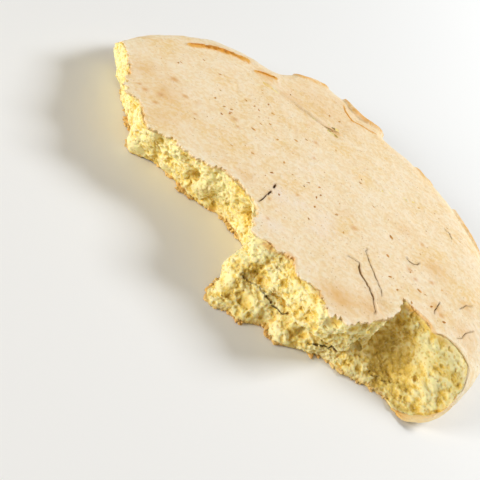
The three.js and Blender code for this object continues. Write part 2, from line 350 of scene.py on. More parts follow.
def ragged_edge(share, walked, side, proud):
    """An edge of the tear, moved out by its raggedness: chips with straight flanks."""
    chips = sum(reach * np.clip(2.2 * along_random(walked, length, RAGGED_SEED[side] + n), -1, 1)
                for n, (length, reach) in enumerate(RAGGED_STEPS))
    line = tear_edge(share, side)
    flap = FLAP_RAGGED * hill(np.hypot(*(line - FLAP_AT).T) / FLAP_REACH)
    from_tips = np.minimum(walked, walked[-1] - walked)
    out = proud + chips * (1 + flap) * smoothstep(from_tips, 2, 18)
    return line + out_of_tear(share)[:, :2] * out[:, None]


print("tear length, mm:", round(even_shares(2)[1][-1]))

# %% [markdown]
# ## Putting surfaces into meshes
# Every piece is a grid of points worked out as whole arrays. Small helpers close a stack of
# rings, make the mesh, and cut a piece with another.

# %% Mesh helpers


def grid_normals(points):
    """Unit normals of a grid: the way down the rows crossed with the way along them."""
    return unit(np.cross(np.gradient(points, axis=0), np.gradient(points, axis=1)))


def make_piece(name, points, faces):
    """A mesh object from points in mm and lists of corners, smooth shaded."""
    mesh = bpy.data.meshes.new(name)
    mesh.from_pydata(in_frame(points), [], faces)
    mesh.validate()
    mesh.shade_smooth()
    piece = add_object(name, mesh)
    print(name, "-", len(mesh.vertices), "points,", len(mesh.polygons), "faces")
    return piece


def between_rows(rows, columns, closed):
    """Quads between neighbouring rows of a grid, round a ring when it is closed."""
    k = np.arange(columns if closed else columns - 1)
    start = np.arange(rows - 1)[:, None] * columns
    beside = (k + 1) % columns
    quads = [start + k, start + columns + k, start + columns + beside, start + beside]
    return np.stack(quads, -1).reshape(-1, 4)


def ring_faces(rows, columns):
    """Quads of a stack of rings, and a fan at each end to the two points that come last."""
    k = np.arange(columns)
    beside = (k + 1) % columns
    hub = rows * columns
    last = hub - columns
    fans = np.vstack([np.stack([np.full(columns, hub), k, beside], -1),
                      np.stack([np.full(columns, hub + 1), last + beside, last + k], -1)])
    return between_rows(rows, columns, True).tolist() + fans.tolist()


def closed_body(rings, first_z, last_z):
    """A stack of rings, closed over the hub by a point at each end."""
    hubs = np.array([(*HUB, first_z), (*HUB, last_z)])
    return np.vstack([rings.reshape(-1, 3), hubs]), ring_faces(*rings.shape[:2])


def carve(piece, tool, operation):
    """Cuts a closed piece with a closed tool, and removes the tool."""
    modifier = piece.modifiers.new("carve", "BOOLEAN")
    modifier.operation = operation
    modifier.solver = "MANIFOLD"
    modifier.object = tool
    evaluated = piece.evaluated_get(bpy.context.evaluated_depsgraph_get())
    carved = bpy.data.meshes.new_from_object(evaluated)
    piece.modifiers.clear()
    piece.data = carved
    bpy.data.objects.remove(tool)
    print(piece.name, "carved:", len(carved.vertices), "points")


def points_of(piece):
    """The points of a piece in mm round the middle of the loaf."""
    flat = np.empty(len(piece.data.vertices) * 3)
    piece.data.vertices.foreach_get("co", flat)
    return flat.reshape(-1, 3) / MM - LOAF_MIDDLE


# %% [markdown]
# ## Cracks, holes and bubbles
# A crack is a wedge driven along a line on the surface. A hole is a lumpy pebble pressed into
# it. Both are made as closed tools and cut out of the crust and of the crumb below it, so that
# they are as dark as real ones: because light doesn't reach their bottom. The inside of the
# cracks and of the crumb's slits is also painted dark brown: painted shade.

# %% Lines of the cracks on the crown, in mm
CROWN_CRACKS = [  # half width, depth, and the line
    (0.60, 4.5, [(81.5, -18.5), (80.7, -16.6), (76.8, -12), (73, -8.4), (67, -5.3),
                 (61, -2.8), (56.4, 2.9), (53.4, 2.4), (50.3, 1)]),
    (0.42, 3.0, [(76, -3.5), (72.6, 0), (67.8, 3.2), (63.5, 6.5), (58, 10.5), (52.7, 15.3),
                 (51.5, 18)]),
    (0.42, 4.0, [(3.2, -19), (2.8, -16.3), (2, -12), (0.9, -8.8)]),
    (0.60, 4.0, [(1.6, -9), (0.9, -6.5), (0.3, -4.2)]),
    (0.65, 4.0, [(-0.9, -0.8), (-1.8, 1.3), (-2.6, 3.2)]),
    (0.50, 2.4, [(66, 38.2), (67, 37.5), (69, 37), (71, 37.7), (72, 40), (72, 42.7)]),
    (0.35, 1.8, [(62, 92), (66, 92), (69.5, 88)]),
    (0.95, 3.4, [(-57, 86.8), (-50.4, 87.2), (-45.3, 88), (-39.2, 88.6), (-34, 90.4),
                 (-28.6, 93), (-24, 96)]),
    (0.30, 1.5, [(97.6, 18), (96.5, 20.4), (95.4, 25.8), (94.4, 29.8)]),
    (0.26, 1.5, [(103, 38.7), (103.5, 45.6), (105.6, 50.4)]),
    (0.26, 1.5, [(113.4, 17.7), (114.6, 22), (114, 27.8), (115.4, 36)]),
    (0.45, 2.4, [(-43, 134.5), (-38, 128.7), (-29, 123.7), (-21, 126), (-14, 130)]),
    (2.10, 3.0, [(-118.5, 62), (-115.4, 72.3), (-111.6, 79.9), (-107.7, 83.5), (-102.6, 88.7),
                 (-96, 92)]),
    (1.30, 1.2, [(-85.5, 88.5), (-81.2, 93.9), (-77, 99)]),
]
LOBE_CRACK = CROWN_CRACKS[7][2]
# cracks whose inside is painted dark brown as painted shade, in the crust and in the crumb below
DARK_CRACKS = CROWN_CRACKS[:11]
GOLDEN_FOLDS = CROWN_CRACKS[11:]  # open creases whose floor browned in the oven
CROWN_HOLES = [  # x, y, radius
    (52, 43, 1.3), (32, 54, 1.0), (60, 27, 1.0), (18, 13, 0.9), (27, 22, 0.9),
    (44, 9, 0.7), (-42, 32, 1.4), (-30, 40, 0.9), (-58, 22, 1.1), (-26, 12, 0.9),
    (-14, 26, 0.9), (-35, 4, 0.8), (-64, 52, 1.0), (-49, 60, 1.2), (8, 84, 1.0),
    (36, 88, 1.1), (84, 24, 1.2), (90, 40, 0.9), (22, 32, 0.7), (70, 14, 0.9),
]
LOOSE_HOLES = 220  # smaller ones, anywhere on the crown
HOLE_SHAPE = (1.4, 0.85, 0.8)  # sizes of a hole's pebble for a radius of 1


def line_through(corners, step=0.7, wander=0.35, seed=0):
    """A line in even steps through its corners that wanders sideways, as cracks do."""
    corners = np.array(corners, float)
    walked = np.r_[0, np.cumsum(np.linalg.norm(np.diff(corners, axis=0), axis=1))]
    at = np.linspace(0, walked[-1], max(int(walked[-1] / step), 4) + 1)
    line = np.stack([np.interp(at, walked, corners[:, n]) for n in range(corners.shape[1])], -1)
    ends = window(at, 1, walked[-1] - 1, 1)
    for n in range(2):
        line[:, n] += wander * ends * along_random(at, 1.9, seed * 2 + n)
    return line, at / walked[-1]


def wedge(line, share, out, half_width, depth, seed, over=1.6):
    """A tube of four corners along a line: wide over the surface, narrow at its depth, and
    closing at both ends by sqrt(sin)."""
    across = unit(np.cross(out, np.gradient(line, axis=0)))
    uneven = 1 + 0.45 * along_random(share * len(line), 3.1, seed)
    open_by = (half_width * uneven * np.sin(np.pi * lerp(0.03, 0.97, share)) ** 0.5)[:, None]
    above, below = line + over * out, line - depth * out
    corners = [above - across * open_by, above + across * open_by,
               below + across * open_by * 0.3, below - across * open_by * 0.3]
    faces = between_rows(len(line), 4, True).tolist()
    last = (len(line) - 1) * 4
    faces += [[0, 1, 2, 3], [last + 3, last + 2, last + 1, last]]
    return np.stack(corners, 1).reshape(-1, 3), faces


# %% A pebble, the shape of each hole, crumb and grain
PEBBLE_ROUND, PEBBLE_RINGS = 7, 4


def pebble_template():
    """Unit sphere: rings of PEBBLE_ROUND points at even latitudes, and its two poles."""
    latitude = np.pi * np.arange(1, PEBBLE_RINGS + 1) / (PEBBLE_RINGS + 1)
    longitude = 2 * np.pi * np.arange(PEBBLE_ROUND) / PEBBLE_ROUND
    ring = np.stack([np.cos(longitude), np.sin(longitude)], -1)
    rings = [np.column_stack([ring * np.sin(a), np.full(PEBBLE_ROUND, np.cos(a))])
             for a in latitude]
    return np.vstack([*rings, [[0, 0, 1], [0, 0, -1]]]), ring_faces(PEBBLE_RINGS, PEBBLE_ROUND)


def pebbles(middles, sizes, seed, lumpiness=0.22, ways=None):
    """Many pebbles as one mesh: template times sizes, each turned at random unless ways gives
    its third axis, with every point moved in or out by up to the lumpiness."""
    draw = np.random.default_rng(seed)
    template, faces = pebble_template()
    count = len(middles)
    third = unit(draw.normal(size=(count, 3)) if ways is None else ways)
    first = unit(np.cross(third, draw.normal(size=(count, 3))))
    axes = np.stack([first, np.cross(third, first), third], 1)
    lumps = 1 + lumpiness * draw.uniform(-1, 1, (count, len(template), 1))
    shapes = (template[None] * lumps * np.asarray(sizes)[:, None, :]) @ axes
    points = (shapes + np.asarray(middles)[:, None, :]).reshape(-1, 3)
    steps = np.arange(count)[:, None, None] * len(template)
    every = []
    for corners in (4, 3):
        alike = np.array([face for face in faces if len(face) == corners])
        every += (alike + steps).reshape(-1, corners).tolist()
    return points, every


def join_shapes(shapes):
    """Several (points, faces) as one."""
    points, faces, start = [], [], 0
    for some_points, some_faces in shapes:
        points.append(some_points)
        faces += [[corner + start for corner in face] for face in some_faces]
        start += len(some_points)
    return np.vstack(points), faces


# %% Tools for the crown
UP = (0.0, 0.0, 1.0)
LOOSE_INSIDE = 24  # mm inside the rim
LOOSE_RADIUS = (0.3, 0.8)  # the least, and how much wider at most


def on_crown(line):
    """Lifts a flat line to the crust."""
    return at_height(line, crust_height(*line.T))


def crown_tools():
    """All wedges and pebbles that cut the crown."""
    shapes = []
    for n, (half_width, depth, corners) in enumerate(CROWN_CRACKS):
        line, share = line_through(corners, seed=n)
        shapes.append(wedge(on_crown(line), share, np.tile(UP, (len(line), 1)),
                            half_width, depth, n))
    draw = np.random.default_rng(5)
    loose = draw.uniform((-120, -10), (120, 118), (LOOSE_HOLES, 2))
    inside = rim_radius(degrees_of(*loose.T)) - np.hypot(*loose.T)
    loose = loose[inside > LOOSE_INSIDE]
    listed = np.array(CROWN_HOLES)
    least, wider = LOOSE_RADIUS
    radius = np.r_[listed[:, 2], least + wider * draw.random(len(loose)) ** 2]
    middles = on_crown(np.vstack([listed[:, :2], loose]))
    shapes.append(pebbles(middles, radius[:, None] * HOLE_SHAPE, 6,
                          ways=np.tile(UP, (len(middles), 1))))
    return join_shapes(shapes)


CROWN_TOOLS = crown_tools()
print("crown tools:", len(CROWN_TOOLS[0]), "points")

# %% [markdown]
# ## Crust
# The crust of a real loaf is its own dough, dried to about a millimetre. It is made here as
# the whole loaf's shell and then torn: a fine sheet from well beyond the tear, over the crown
# and round the rim to its foot, cut by a tool whose side is the ragged tear. The cut edge is
# then as sharp as broken crust, whatever the spacing of the sheet.

# %% Crust: fine relief
CRUST_THICK = 1.1
CRUST_WAVES = [(30, 0.50), (12, 0.34), (5, 0.22), (2.3, 0.16)]  # size and height, mm
LIP_HEIGHT = 0.35  # the crust stands up a little along its cracks
LOBE_LIP = 0.35  # and more where the lobe pulled away from it
RIM_STRIPS = [  # where a layer of the rim stands open: degrees from and to, place, rise
    (96, 109, 15, 2.2), (113.5, 122, 13, 1.3), (77, 84, 10, 1.2), (54, 69, 10, 1.5),
]
STRIP_WIDTH = 9


def distance_to_line(x, y, corners):
    """Distance in plan from each point to a line through the corners."""
    nearest = np.full(np.shape(x), 1e9)
    corners = np.array(corners, float)
    for (ax, ay), (bx, by) in zip(corners[:-1], corners[1:]):
        run = np.array([bx - ax, by - ay])
        share = np.clip(((x - ax) * run[0] + (y - ay) * run[1]) / (run @ run), 0, 1)
        nearest = np.minimum(nearest, np.hypot(x - ax - share * run[0], y - ay - share * run[1]))
    return nearest


def rim_strips(points):
    """For each point, how much it lies on an open layer of the rim, and that layer's rise."""
    x, y, z = (points[..., n] for n in range(3))
    degrees = degrees_of(x, y)
    inside = rim_radius(degrees) - np.hypot(x, y)
    on_strip, rise = np.zeros_like(x), np.zeros_like(x)
    for first, last, place, up in RIM_STRIPS:
        from_middle = np.abs(degrees - (first + last) / 2) / (last - first) * 2
        reach = place * np.sqrt(np.clip(1.1 - from_middle**2, 0, 1))
        strip = 1 - smoothstep(inside, reach - 0.7, reach + 0.5)
        strip = strip * smoothstep(inside, reach - STRIP_WIDTH, reach - STRIP_WIDTH / 3)
        strip = strip * smoothstep(z, 11, 15) * (from_middle < 1.05)
        on_strip = np.maximum(on_strip, strip)
        rise = np.maximum(rise, up * strip)
    return on_strip, rise


def lobe_lip(x, y):
    """The crown's side of the lobe's crack stands up, and drops sharply at the crack."""
    line_x, line_y = np.array(LOBE_CRACK).T
    before = np.interp(x, line_x, line_y) - y
    beside = window(x, line_x[0] - 1, line_x[-1] + 1, 5)
    return beside * smoothstep(before, -0.5, 0.5) * hill((before - 1.2) / 3.0)


EDGE_LINE = tear_edge(even_shares(170)[0], "top")


def crust_detail(points):
    """Height over the plain crust: waves of four sizes, lips along cracks, a curl at the tear."""
    rise = sum(up * smooth_random(points, size, 11 + n)
               for n, (size, up) in enumerate(CRUST_WAVES))
    x, y = points[..., 0], points[..., 1]
    for half_width, _, corners in CROWN_CRACKS:
        away = distance_to_line(x, y, corners)
        rise = rise + LIP_HEIGHT * half_width / 0.45 * hill((away - 0.9) / 1.3)
    rise = rise + rim_strips(points)[1] + LOBE_LIP * lobe_lip(x, y)
    near = np.zeros_like(x)
    close = y < 25
    near[close] = hill(distance_to_line(x[close], y[close], EDGE_LINE) / 3.2)
    rise = rise + near * (0.25 + 0.6 * smooth_random(points, 9, 21))
    return rise * smoothstep(points[..., 2], -1, 5)


# %% Crust: the sheet of the whole loaf's end, before the tear
SHEET_COLUMNS = 430
CROWN_ROWS, SIDE_ROWS = 200, 44
INNER_ROWS, INNER_SIDE_ROWS = 26, 8
SHEET_DEGREES = (-25, 200)
SHEET_MOUTH = (112, -60)  # half length and place of the straight line it starts from
FOOT_DOWN = 0.93
TOOL_STEPS = 1000
TOOL_HEIGHTS = {"top": (45, 23), "base": (1.5, -6)}  # of the outlines through each edge
PAST_RIM = 45  # mm that the tear is run on beyond the rim
BEHIND = [(185, 200), (-185, 200)]  # where the tool closes, far behind the half


def loaf_sheet(rows_over, rows_side, inset):
    """From a straight line beyond the tear to the shoulder, then down the rim's section."""
    degrees = np.linspace(*SHEET_DEGREES, SHEET_COLUMNS)
    shoulder = rim_point(degrees, degrees, 0.0, inset)
    mouth_x = np.linspace(SHEET_MOUTH[0], -SHEET_MOUTH[0], SHEET_COLUMNS)
    share = np.linspace(0, 1, rows_over)[:, None]
    x = lerp(mouth_x, shoulder[:, 0], share)
    y = lerp(np.full(SHEET_COLUMNS, SHEET_MOUTH[1]), shoulder[:, 1], share)
    over = np.stack([x, y, crust_height(x, y, inset)], -1)
    down = np.linspace(0, FOOT_DOWN, rows_side + 1)[1:, None]
    side = rim_point(degrees[None], degrees[None], down, inset)
    return np.concatenate([over, side])


def crust_sheet():
    """The outer grid with its relief, then the inner grid backwards: a closed flat tube."""
    outer = loaf_sheet(CROWN_ROWS, SIDE_ROWS, 0)
    outer = outer + grid_normals(outer) * crust_detail(outer)[..., None]
    inner = loaf_sheet(INNER_ROWS, INNER_SIDE_ROWS, CRUST_THICK)[::-1]
    tube = np.concatenate([outer, inner])
    rows, columns = tube.shape[:2]
    quads = between_rows(rows, columns, False)
    k = np.arange(columns - 1)
    last = (rows - 1) * columns
    closing = np.stack([last + k, k, k + 1, last + k + 1], -1)
    ends = [list(range(0, rows * columns, columns))[::-1],
            list(range(columns - 1, rows * columns, columns))]
    return tube.reshape(-1, 3), quads.tolist() + closing.tolist() + ends


def tear_tool():
    """The half's own side of the tear as a tall block: the crust's edge at two heights and the
    base's at two, run out past the rim and closed far behind it."""
    share, walked = even_shares(TOOL_STEPS)
    rings = []
    for side, heights in TOOL_HEIGHTS.items():
        edge = ragged_edge(share, walked, side, 0.3)
        turn = np.radians([tip[side] for tip in (RIM_END, RIM_START)])
        far, near = PAST_RIM * np.stack([np.cos(turn), np.sin(turn)], -1)
        outline = np.vstack([edge[0] + far, edge, edge[-1] + near, BEHIND])
        rings += [at_height(outline, z) for z in heights]
    count = len(rings[0])
    faces = between_rows(4, count, True).tolist()
    faces += [list(range(count)), list(range(4 * count - 1, 3 * count - 1, -1))]
    return np.vstack(rings), faces


crust = make_piece("crust", *crust_sheet())
carve(crust, make_piece("tear_tool", *tear_tool()), "INTERSECT")
carve(crust, make_piece("crown_tool", *CROWN_TOOLS), "DIFFERENCE")
crust.data.set_sharp_from_angle(angle=np.radians(50))

# %% [markdown]
# ## Crumb
# Torn crumb isn't cut through: it comes apart along its bubbles and leaves lumps, open cells
# and a few deep slits. The plain face repeats the solid's. On it, along its normals, come lumps
# of 12 and 6 mm, crests round hollows of 3, 2 and 1 mm, and open cells of three sizes.

# %% Crumb: the torn face
HOLLOWS = [  # x, y, z of the middle, reach along, reach up and down, depth
    (-93, -10, 14, 8, 8, 2.5), (-57, -21, 16, 4, 6, 2.5), (-34, -18, 15, 4, 5, 4),
    (1, -16, 19, 7, 5.5, 7), (64, -42, 9.5, 4.5, 3, 5), (72, -39, 25, 5, 4, 3),
    (86, -21, 11.5, 4, 5, 6), (101, -7, 14, 15, 10, 9),
]
CRAGS = [(11, 2.4), (5.5, 1.1)]  # size and height, mm
CREVICE_X, CREVICE_Z = (28, 82), (16.5, 7)  # it goes down along the face
CREVICE_HALF, CREVICE_DEPTH = 2.2, 4
SMOOTH_BUBBLES = [  # where a skin stayed whole: middle, radius, and depth (below 0: a cheek)
    (73.3, -38.2, 25.2, 4.4, 2.0), (80, -31, 26, 3.0, 1.0), (-6, -14, 9.5, 2.6, 1.4),
    (44, -37, 22, 3.0, 1.2), (107, -4, 12, 3.0, 1.2), (-84, -12, 9, 2.8, 1.2),
    (-70, -23, 5, 6.5, -1.6), (-65, -26, 15, 4.5, -1.0), (-53, -16, 5, 5.0, -1.4),
    (-47, -21, 17, 3.6, -0.8), (24, -52, 8, 5.0, -0.8), (58, -43, 11.5, 3.4, -1.6),
    (37, -49, 8, 3.5, -0.8), (112, -1, 19, 4.0, -0.8), (-88, -10, 16, 4.0, -0.6),
]
DEEPER = [  # places where the crumb is hollower than the plain solid: as above
    (99, -7, 13, 9, 8, 4.0), (93, -5, 17, 5, 5, 2), (104, -12, 8, 6, 5, 3),
    (-59, -18, 14, 2, 6, 2.5), (-34, -16, 15, 3, 4, 1.5), (65, -42, 9, 5, 2.5, 2.5),
    (86, -20, 11, 3, 5, 2.5), (-22, -12, 10, 3, 4, 2), (30, -42, 20, 4, 3, 1.5),
    (79, -31, 17, 3, 4, 1.5),
]
LUMPS = [(12.0, 1.2), (6.0, 0.8), (3.2, -0.5)]  # size and height, mm; below 0, crests
GRAIN = [(1.9, -0.42), (1.0, -0.25)]  # round hollows instead of lumps between creases


def hollows(points, places):
    """Depth of several hollows: hills with a reach along the face and another one up it."""
    deep = 0
    for x, y, z, reach, height, depth in places:
        level = np.linalg.norm(points[..., :2] - (x, y), axis=-1) / reach
        deep = deep + depth * hill(np.hypot(level, (points[..., 2] - z) / height))
    return deep


def crumb_crags(points):
    """How far the crumb stands out of the plain torn face, as in the solid."""
    out = sum(most * smooth_random(points, size) for size, most in CRAGS)
    first, last = CREVICE_X
    along = (points[..., 0] - first) / (last - first)
    crevice = hill((points[..., 2] - lerp(*CREVICE_Z, along)) / CREVICE_HALF)
    crevice = CREVICE_DEPTH * window(along, 0, 1, 0.08) * crevice
    return out - hollows(points, HOLLOWS) - crevice


def billows(points, layers, seed):
    """Round lumps with creases between them: height (2 |field| - 0.7) for each size."""
    return sum(up * (2 * np.abs(smooth_random(points, size, seed + n)) - 0.7)
               for n, (size, up) in enumerate(layers))


def bend(points, size, reach, seed):
    """Points moved about by three smooth fields, so that no pattern stays regular."""
    shift = np.stack([smooth_random(points, size, seed + n) for n in range(3)], -1)
    return points + reach * shift


def crumb_lumps(points):
    """Torn lumps in mm, outwards, and the places that are hollower than the solid."""
    bent = bend(points, 5.0, 1.6, 61)
    out = billows(bent, LUMPS, 65) + 0.2 - 0.5 * open_cells(bent, 6.5, 0.52, 71)
    return out - hollows(points, DEEPER)


def crumb_grain(points):
    """Grain and small open cells in mm, outwards, smoothed out where a bubble's skin is whole."""
    bent = bend(points, 1.6, 0.5, 75)
    out = billows(bent, GRAIN, 78) + 0.55 - 0.75 * open_cells(bent, 2.9, 0.68, 81)
    out = out - 0.7 * open_cells(bent, 1.5, 0.68, 86)
    for ax, ay, az, radius, depth in SMOOTH_BUBBLES:
        away = np.linalg.norm(points - (ax, ay, az), axis=-1) / radius
        skin = 1 - smoothstep(away, 0.8, 1.15)
        out = lerp(out, -depth * (1 - away**2) + 0.5 * smoothstep(away, 0.6, 1.0), skin)
    return out


def torn_face(share, walked, down, inset_top, inset_base):
    """Straight from the crust's edge to the base's, with the rim's section at both tips."""
    top, base = tear_edge(share, "top"), tear_edge(share, "base")
    top = at_height(top, crust_height(*top.T) - inset_top)
    base = at_height(base, np.maximum(base_height(*base.T), inset_base))
    down = down[:, None, None]
    face = lerp(top[None], base[None], down)
    at_tip = np.zeros((1, len(share)))
    for rim, away, n in ((RIM_END, walked, 0), (RIM_START, walked[-1] - walked, 1)):
        near = (1 - smoothstep(away, 0, TIP_BLEND))[None]
        section = rim_point(rim["top"], rim["base"], down[..., 0], inset_top)
        straight = lerp(TOP_TIPS[n][None, None], BASE_TIPS[n][None, None], down)
        face = face + (section - straight) * near[..., None]
        at_tip = np.maximum(at_tip, near)
    return face, at_tip


# %% Crumb: one closed body under the crust
FACE_COLUMNS, FACE_ROWS, RIM_COLUMNS = 720, 92, 60
CRUMB_INSET, BASE_INSET = 0.6, 0.7  # the crumb's skin under the crust's and the base's faces
CROWN_SHARES = (0.15, 0.4, 0.65, 0.82)  # rings from the hub out, then mm before the edge
CROWN_BACKS = (9, 7.5, 6.2, 5, 4, 3.1, 2.3, 1.6, 1.0, 0.5)
UNDER_SHARES = (0.985, 0.95, 0.8, 0.5, 0.2)


def crumb_rings():
    """Rings from the hub over the crown to the tear, down the face and under to the hub."""
    share, walked = even_shares(FACE_COLUMNS)
    down = np.linspace(0, 1, FACE_ROWS)
    face, at_tip = torn_face(share, walked, down, CRUMB_INSET, BASE_INSET)
    out = out_of_tear(share)[None]
    held = np.sin(np.pi * down)[:, None] ** 0.5 * (1 - at_tip)
    face = face + out * (crumb_crags(face) * held + 1.2 * at_tip)[..., None]
    loose = (0.3 + 0.7 * np.sin(np.pi * down)[:, None] ** 0.4) * (1 - 0.6 * at_tip)
    face = face + grid_normals(face) * (crumb_lumps(face) * loose)[..., None]
    face = face + grid_normals(face) * (crumb_grain(face) * (0.5 + 0.5 * loose))[..., None]
    face[..., 2] = np.maximum(face[..., 2], 0.5 * BASE_INSET)
    part = np.linspace(0, 1, RIM_COLUMNS + 2)[1:-1]
    top = lerp(RIM_START["top"], RIM_END["top"], part)[None]
    base = lerp(RIM_START["base"], RIM_END["base"], part)[None]
    rim = rim_point(top, base, down[:, None] + 0 * top, CRUMB_INSET + 0.1)
    side = np.concatenate([face, rim], axis=1)
    edge = side[0, :, :2]
    reach = np.linalg.norm(edge - HUB, axis=1, keepdims=True)
    plans = [lerp(HUB, edge, step) for step in CROWN_SHARES]
    plans += [lerp(HUB, edge, 1 - back / reach) for back in CROWN_BACKS]
    crown = []
    for plan in plans:
        flat = at_height(plan, crust_height(*plan.T, CRUMB_INSET))
        rough = 0.35 * smooth_random(flat, 2.0, 91) + 0.2 * smooth_random(flat, 0.9, 92) - 0.25
        crown.append(flat + np.array(UP) * rough[:, None])
    under = [at_height(lerp(HUB, side[-1, :, :2], step), BASE_INSET) for step in UNDER_SHARES]
    return np.concatenate([np.array(crown), side, np.array(under)]), face


CRUMB_RINGS, FACE = crumb_rings()
CRUMB_TOP = crust_height(*HUB, CRUMB_INSET)
crumb = make_piece("crumb", *closed_body(CRUMB_RINGS, CRUMB_TOP, BASE_INSET))

# %% Crumb: slits and caves in the torn face
FACE_SLITS = [  # half width, depth, and points on the face
    (0.6, 6, [(-60, -26, 21), (-58, -22, 15.5), (-56, -21, 14), (-54, -19, 11)]),
    (0.55, 7, [(27, -48, 17.6), (31.5, -46, 16.3), (34.5, -44, 15.6), (40, -45.4, 14)]),
    (0.65, 8, [(39, -45.4, 14.2), (45, -43.5, 13.2), (49, -43, 12.9), (53.5, -42.4, 12.2)]),
    (0.7, 5, [(69, -38, 6.9), (72.7, -35, 7.7), (77, -31, 8), (80, -28, 7)]),
    (0.6, 4, [(42, -36, 26), (43, -38, 25), (46, -39, 23.7), (49, -40.4, 17.5)]),
    (0.5, 4, [(-96, -8, 20), (-92, -10, 15), (-90, -9, 9)]),
    (0.5, 4, [(96, -18, 5), (101, -16, 5.5), (105, -13, 7)]),
]
FACE_CAVES = [  # middle, reach along, up and in
    ((-34, -16.5, 15), (2.2, 2.6, 4)), ((64.5, -40, 9.4), (3.6, 1.7, 4)),
    ((85.3, -20.5, 12), (1.7, 4.2, 5)), ((104, -7, 10), (2.4, 1.6, 3)),
    ((97.6, -5, 15), (1.8, 1.4, 3)), ((-14, -9.5, 10), (1.5, 1.2, 3)),
    ((113.5, -5, 9.6), (1.6, 1.0, 3)), ((-75, -19, 8), (1.6, 1.2, 3)),
    ((1, -13, 20), (3.0, 1.6, 4)),
]


def nearest_on_face(points):
    """The face's own points and normals nearest to the given ones."""
    rows = FACE.reshape(-1, 3)
    normals = grid_normals(FACE).reshape(-1, 3)
    found = [int(np.argmin(np.sum((rows - p) ** 2, axis=1))) for p in points]
    return rows[found], normals[found]


def face_tools():
    """Wedges along the slits, driven in along the face's mean normal, and pebbles for caves."""
    shapes, cores = [], []
    for n, (half_width, depth, corners) in enumerate(FACE_SLITS):
        line, share = line_through(corners, wander=0.5, seed=20 + n)
        on_face, normals = nearest_on_face(line)
        out = normals.mean(axis=0) + (0.1, -0.6, 0.4)
        out = np.tile(out / np.linalg.norm(out), (len(line), 1))
        line = lerp(line, on_face, 0.9)
        shapes.append(wedge(line, share, out, half_width, depth, 30 + n, over=4.0))
        cores += [line - deep * out for deep in np.arange(1.6, depth, 1.2)]
    middles, _ = nearest_on_face([cave[0] for cave in FACE_CAVES])
    sizes = np.array([[along, up, into] for _, (along, up, into) in FACE_CAVES])
    ways = np.tile([0.25, -1.0, 0.0], (len(sizes), 1))
    shapes.append(pebbles(middles, sizes, 9, lumpiness=0.3, ways=ways))
    return join_shapes(shapes), np.vstack(cores)


FACE_TOOLS, SLIT_CORES = face_tools()
carve(crumb, make_piece("face_tool", *FACE_TOOLS), "DIFFERENCE")
carve(crumb, make_piece("crown_tool", *CROWN_TOOLS), "DIFFERENCE")

# %% [markdown]
# ## Grains of crumb
# A tear pulls small grains out of the crumb, which cling to it. They are pebbles of 0.3 to
# 1.2 mm, half sunk in the face and thicker where the crumb is coarse. They give the face its
# fine shadows, which no smooth grid of this size could hold.

# %% Crumb: grains that cling to the torn face
GRAINS = 1700
GRAIN_SIZE = (0.22, 0.55)


def clinging_grains():
    """Pebbles on random points of the face, where a random field says that it is coarse."""
    draw = np.random.default_rng(12)
    rows = draw.integers(3, FACE_ROWS - 3, GRAINS * 2)
    columns = draw.integers(14, FACE_COLUMNS - 14, GRAINS * 2)
    middles = FACE[rows, columns]
    normals = grid_normals(FACE)[rows, columns]
    coarse = uneven_at(middles, 95)
    for ax, ay, az, radius, _ in SMOOTH_BUBBLES:
        coarse = np.where(np.linalg.norm(middles - (ax, ay, az), axis=1) < radius, -9, coarse)
    kept = np.argsort(-coarse + draw.uniform(0, 0.9, len(coarse)))[:GRAINS]
    size = draw.uniform(*GRAIN_SIZE, len(kept)) * draw.uniform(0.6, 1.1, len(kept))
    sizes = size[:, None] * draw.uniform(0.65, 1.35, (len(kept), 3))
    middles = middles[kept] + normals[kept] * (size * draw.uniform(-0.5, 0.1, len(kept)))[:, None]
    return pebbles(middles, sizes, 13, lumpiness=0.45)


grains = make_piece("crumb_grains", *clinging_grains())

# %% [markdown]
# ## Base crust
# The underside baked on a hot tray, so it is golden brown and nearly flat, with small pores.
# At the tear it reaches a little beyond the crumb in ragged chips.

# %% Base crust
BASE_COLUMNS, BASE_RIM_COLUMNS, BASE_ROWS = 760, 260, 44
BASE_THICK = 1.0
BASE_LIFT = 0.12  # room under the base for its pores' rims


def base_crust_rings():
    """Rings over a ragged outline: inner face from the hub out, the edge, then the underside."""
    share, walked = even_shares(BASE_COLUMNS)
    tear = ragged_edge(share, walked, "base", 0.5)
    part = np.linspace(0, 1, BASE_RIM_COLUMNS + 2)[1:-1]
    degrees = lerp(RIM_START["base"], RIM_END["base"], part)
    rim = rim_point(degrees, degrees, 0.90, BASE_LIFT)[:, :2]
    outline = np.vstack([tear, rim])
    rings = [at_height(lerp(HUB, outline, s), BASE_THICK) for s in (0.3, 0.7, 0.93, 0.99)]
    rings.append(at_height(outline, BASE_THICK * 0.55))
    for s in 1 - np.linspace(0, 1, BASE_ROWS)[:-1] ** 1.5:
        plan = lerp(HUB, outline, s)
        spot = at_height(plan, 0.0)
        pores = 0.5 * open_cells(spot, 4.5, 0.3, 101) + 0.12 * smooth_random(spot, 9, 105)
        foot = np.maximum(base_height(*plan.T, BASE_LIFT) - BASE_LIFT, 0)
        z = foot + BASE_LIFT + np.clip(pores, -BASE_LIFT, 0.7)
        rings.append(at_height(plan, np.minimum(z, BASE_THICK * 0.9 + foot)))
    return np.array(rings)


base_crust = make_piece("base_crust", *closed_body(base_crust_rings(), BASE_THICK, BASE_LIFT))

# %% [markdown]
# ## Flakes
# Broken crust sheds flakes, and the tray-baked base breaks into golden chips along the tear.
# Both are pebbles pressed flat, set along the two edges of the tear at random steps.

# %% Flakes of crust and chips of base
CRUST_FLAKES, BASE_CHIPS = 300, 1300
EDGE_STEPS, TIP_STEPS = 2000, 60  # places along the tear, and those without flakes at its tips


